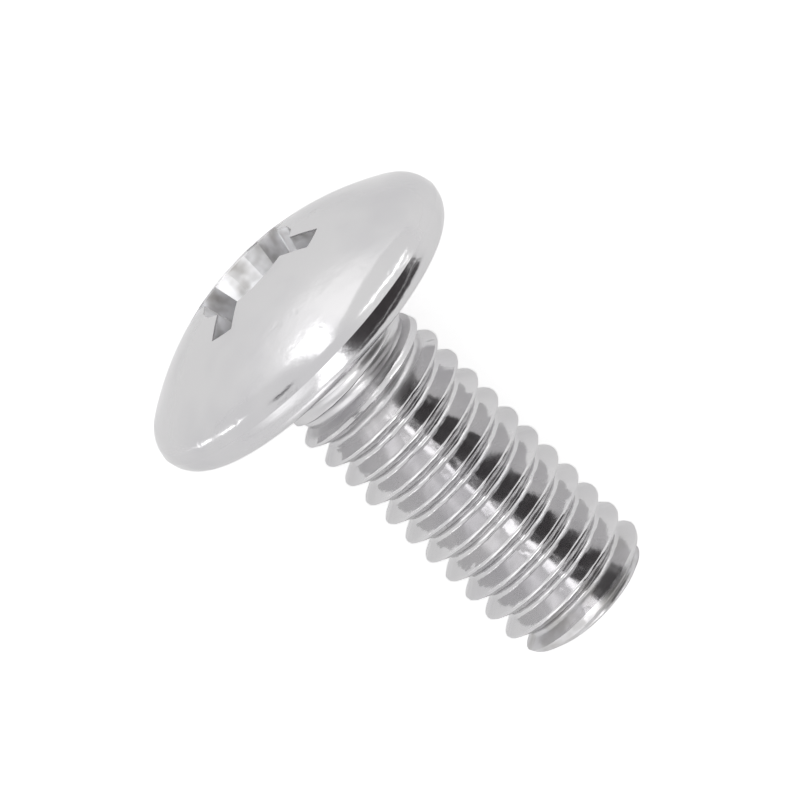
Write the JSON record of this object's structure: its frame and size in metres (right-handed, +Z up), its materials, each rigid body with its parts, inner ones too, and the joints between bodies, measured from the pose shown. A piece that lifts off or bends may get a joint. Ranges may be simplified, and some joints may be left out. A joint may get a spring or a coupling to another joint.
{
  "type": "truss head machine screw",
  "caption": "Plated steel machine screw with a wide low domed head, a cross recess and a right-hand thread, lying at rest.",
  "frame": {"origin": "centre of the footprint of the lying screw, on the ground", "axes": "+Z up from the ground, +X along the lying shank towards its tip, +Y across it; the screw's own axis lies in the plane Y = 0 and slopes down 15.3 degrees towards the tip"},
  "size_m": [0.0178, 0.0132, 0.0129],
  "materials": {
    "plated_steel": "bright zinc plated, satin"
  },
  "bodies": {
    "root": {"machine_screw": "plated_steel"}
  },
  "joints": []
}
